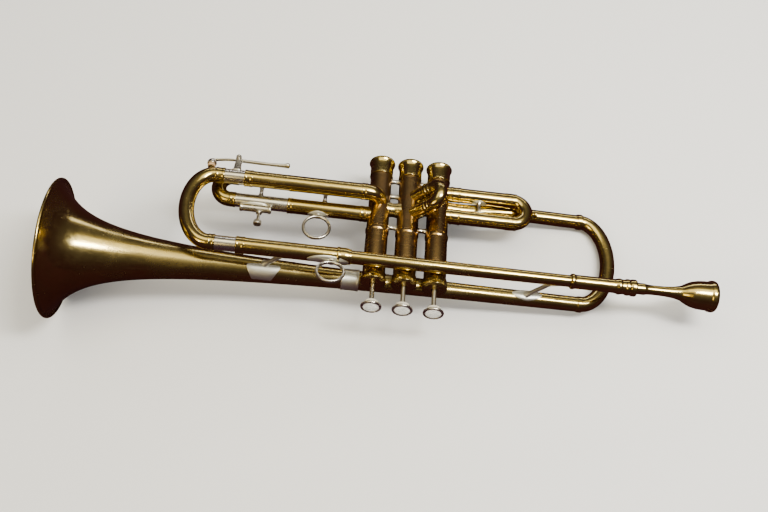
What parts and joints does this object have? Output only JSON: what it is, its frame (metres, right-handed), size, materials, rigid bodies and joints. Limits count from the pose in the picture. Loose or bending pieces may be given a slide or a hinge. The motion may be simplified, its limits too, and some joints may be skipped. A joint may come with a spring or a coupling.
{
  "type": "trumpet",
  "caption": "Piston-valve brass instrument: long flared bell, folded cylindrical tubing, pull-out tuning slides, water key, finger rings and removable cup mouthpiece.",
  "frame": {"origin": "at the centre of the instrument's overall box with the mouthpiece seated: level with the bell's axis across the instrument, halfway between bell rim and mouthpiece rim, and halfway between the bell's button-side edge and the bottom caps", "axes": "+X along the bell axis from the bell towards the player, +Y along the valve axes from the finger buttons towards the bottom caps, +Z from the bell tube side towards the leadpipe side"},
  "size_m": [0.5552, 0.1748, 0.1188],
  "materials": {
    "brass": "aged lacquered yellow brass",
    "red_brass": "handled brass, lacquer worn to a redder tone",
    "nickel_silver": "polished nickel silver, slightly dull",
    "piston_metal": "lapped monel",
    "pearl": "mother-of-pearl disc",
    "felt": "wool felt washer",
    "cork": "water key cork",
    "spring_steel": "spring wire"
  },
  "bodies": {
    "horn": {"bell": "brass", "bell_ferrule": "nickel_silver", "bell_bow": "brass", "leadpipe": "brass", "leadpipe_ferrule": "brass", "mouthpiece_receiver": "brass", "receiver_brace": "brass", "bell_brace": "brass", "main_slide_outer_upper": "brass", "main_slide_outer_lower": "brass", "valve_casing_1": "red_brass", "valve_casing_2": "red_brass", "valve_casing_3": "red_brass", "top_cap_1": "brass", "top_cap_2": "brass", "top_cap_3": "brass", "bottom_cap_1": "brass", "bottom_cap_2": "brass", "bottom_cap_3": "brass", "valve_guide_1": "brass", "valve_guide_2": "brass", "valve_guide_3": "brass", "valve_spring_1": "spring_steel", "valve_spring_2": "spring_steel", "valve_spring_3": "spring_steel", "crossover_2_3": "brass", "crossover_1_2": "brass", "first_slide_outer": "brass", "second_slide_outer_near": "brass", "second_slide_outer_far": "brass", "third_slide_outer": "brass", "third_slide_ring": "nickel_silver", "pinky_ring": "nickel_silver"},
    "valve_1": {"piston_1": "piston_metal", "valve_stem_1": "nickel_silver", "stem_felt_1": "felt", "finger_button_1": "nickel_silver", "pearl_inlay_1": "pearl"},
    "valve_2": {"piston_2": "piston_metal", "valve_stem_2": "nickel_silver", "stem_felt_2": "felt", "finger_button_2": "nickel_silver", "pearl_inlay_2": "pearl"},
    "valve_3": {"piston_3": "piston_metal", "valve_stem_3": "nickel_silver", "stem_felt_3": "felt", "finger_button_3": "nickel_silver", "pearl_inlay_3": "pearl"},
    "main_slide": {"main_slide_leg_upper": "nickel_silver", "main_slide_leg_lower": "nickel_silver", "main_slide_bow": "brass"},
    "water_key_lever": {"water_key": "nickel_silver", "water_key_cork": "cork"},
    "first_valve_slide": {"first_slide": "brass"},
    "second_valve_slide": {"second_slide": "brass"},
    "third_valve_slide": {"third_slide_legs": "nickel_silver", "third_slide_bow": "brass", "lyre_socket": "nickel_silver"},
    "lyre_thumb_screw": {"lyre_screw": "nickel_silver"},
    "mouthpiece_body": {"mouthpiece": "brass"}
  },
  "joints": [
    {"name": "valve_1_press", "type": "slide", "parent": "horn", "child": "valve_1", "axis": [0, 1, 0], "range_m": [0, 0.0162], "stiffness_N_per_m": 60, "springref_m": -0.03, "deforming": ["valve_spring_1"]},
    {"name": "valve_2_press", "type": "slide", "parent": "horn", "child": "valve_2", "axis": [0, 1, 0], "range_m": [0, 0.0162], "stiffness_N_per_m": 60, "springref_m": -0.03, "deforming": ["valve_spring_2"]},
    {"name": "valve_3_press", "type": "slide", "parent": "horn", "child": "valve_3", "axis": [0, 1, 0], "range_m": [0, 0.0162], "stiffness_N_per_m": 60, "springref_m": -0.03, "deforming": ["valve_spring_3"]},
    {"name": "main_slide_pull", "type": "slide", "parent": "horn", "child": "main_slide", "axis": [-1, 0, 0], "range_m": [0, 0.045]},
    {"name": "water_key_open", "type": "hinge", "parent": "main_slide", "child": "water_key_lever", "pos_m": [-0.13395, 0.05935, 0.0347], "axis": [0, 0, -1], "range_deg": [0, 10], "stiffness_Nm_per_rad": 0.15, "springref_deg": -34.38},
    {"name": "first_slide_pull", "type": "slide", "parent": "horn", "child": "first_valve_slide", "axis": [1, 0, 0], "range_m": [0, 0.035]},
    {"name": "second_slide_pull", "type": "slide", "parent": "horn", "child": "second_valve_slide", "axis": [0.6428, 0, 0.766], "range_m": [0, 0.01]},
    {"name": "third_slide_pull", "type": "slide", "parent": "horn", "child": "third_valve_slide", "axis": [-1, 0, 0], "range_m": [0, 0.04]},
    {"name": "lyre_screw_turn", "type": "hinge", "parent": "third_valve_slide", "child": "lyre_thumb_screw", "pos_m": [-0.11095, 0.00885, 0.0223], "axis": [0, -1, 0], "continuous": true},
    {"name": "mouthpiece_pull", "type": "slide", "parent": "horn", "child": "mouthpiece_body", "axis": [1, 0, 0], "range_m": [0, 0.03]}
  ]
}
